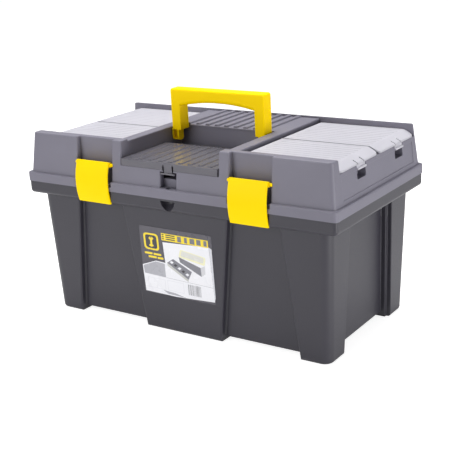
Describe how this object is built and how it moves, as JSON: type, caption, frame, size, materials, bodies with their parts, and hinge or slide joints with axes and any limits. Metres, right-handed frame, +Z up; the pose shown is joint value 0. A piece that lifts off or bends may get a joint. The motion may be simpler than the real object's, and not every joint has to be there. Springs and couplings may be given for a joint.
{
  "type": "toolbox with tray",
  "caption": "Plastic toolbox with a lift-out tray, a hinged lid with covered storage bins, a fold-down carrying handle and front latches.",
  "frame": {"origin": "on the floor, under the middle of the box", "axes": "+X along the box to its right-hand end seen from the front, +Y to the hinge side, +Z up; the latches face -Y"},
  "size_m": [0.58, 0.315, 0.3715],
  "materials": {
    "tub_plastic": "fine-grained dark grey polypropylene",
    "lid_plastic": "satin mid-grey polypropylene",
    "tray_plastic": "satin near-black polypropylene",
    "yellow_plastic": "satin yellow polypropylene",
    "smoked_plastic": "smoked translucent polypropylene",
    "frosted_plastic": "frosted translucent polypropylene",
    "divider_plastic": "satin grey polypropylene",
    "label_film": "printed film",
    "pin_steel": "drawn steel wire"
  },
  "bodies": {
    "tub": {"tub_shell": "tub_plastic", "front_label": "label_film", "hinge_pin_left": "pin_steel", "hinge_pin_right": "pin_steel"},
    "lid": {"lid_shell": "lid_plastic", "bin_dividers_front_left": "divider_plastic", "bin_dividers_rear_left": "divider_plastic", "bin_dividers_front_right": "divider_plastic", "bin_dividers_rear_right": "divider_plastic"},
    "handle": {"handle": "yellow_plastic"},
    "centre_cover": {"centre_cover": "smoked_plastic"},
    "tray": {"tray_shell": "tray_plastic", "tray_divider_left": "divider_plastic", "tray_divider_right": "divider_plastic"},
    "latch_left": {"latch_left": "yellow_plastic"},
    "latch_right": {"latch_right": "yellow_plastic"},
    "bin_cover_front_left": {"bin_cover_front_left": "frosted_plastic"},
    "bin_cover_rear_left": {"bin_cover_rear_left": "frosted_plastic"},
    "bin_cover_front_right": {"bin_cover_front_right": "frosted_plastic"},
    "bin_cover_rear_right": {"bin_cover_rear_right": "frosted_plastic"}
  },
  "joints": [
    {"name": "lid_hinge", "type": "hinge", "parent": "tub", "child": "lid", "pos_m": [0, 0.1556, 0.23], "axis": [-1, 0, 0], "range_deg": [0, 100]},
    {"name": "tray_lift", "type": "slide", "parent": "tub", "child": "tray", "axis": [0, 0, 1], "range_m": [0, 0.014]},
    {"name": "handle_fold", "type": "hinge", "parent": "lid", "child": "handle", "pos_m": [0, 0.0015, 0.2945], "axis": [-1, 0, 0], "range_deg": [-90, 0]},
    {"name": "centre_cover_hinge", "type": "hinge", "parent": "lid", "child": "centre_cover", "pos_m": [0, -0.028, 0.2795], "axis": [-1, 0, 0], "range_deg": [0, 90]},
    {"name": "latch_left_pivot", "type": "hinge", "parent": "lid", "child": "latch_left", "pos_m": [-0.1465, -0.1425, 0.271], "axis": [-1, 0, 0], "range_deg": [0, 110]},
    {"name": "bin_cover_front_left_hinge", "type": "hinge", "parent": "lid", "child": "bin_cover_front_left", "pos_m": [-0.118, 0, 0.2994], "axis": [0, 1, 0], "range_deg": [0, 100]},
    {"name": "bin_cover_rear_left_hinge", "type": "hinge", "parent": "lid", "child": "bin_cover_rear_left", "pos_m": [-0.118, 0, 0.2994], "axis": [0, 1, 0], "range_deg": [0, 100]},
    {"name": "latch_right_pivot", "type": "hinge", "parent": "lid", "child": "latch_right", "pos_m": [0.1465, -0.1425, 0.271], "axis": [-1, 0, 0], "range_deg": [0, 110]},
    {"name": "bin_cover_front_right_hinge", "type": "hinge", "parent": "lid", "child": "bin_cover_front_right", "pos_m": [0.118, 0, 0.2994], "axis": [0, -1, 0], "range_deg": [0, 100]},
    {"name": "bin_cover_rear_right_hinge", "type": "hinge", "parent": "lid", "child": "bin_cover_rear_right", "pos_m": [0.118, 0, 0.2994], "axis": [0, -1, 0], "range_deg": [0, 100]}
  ]
}
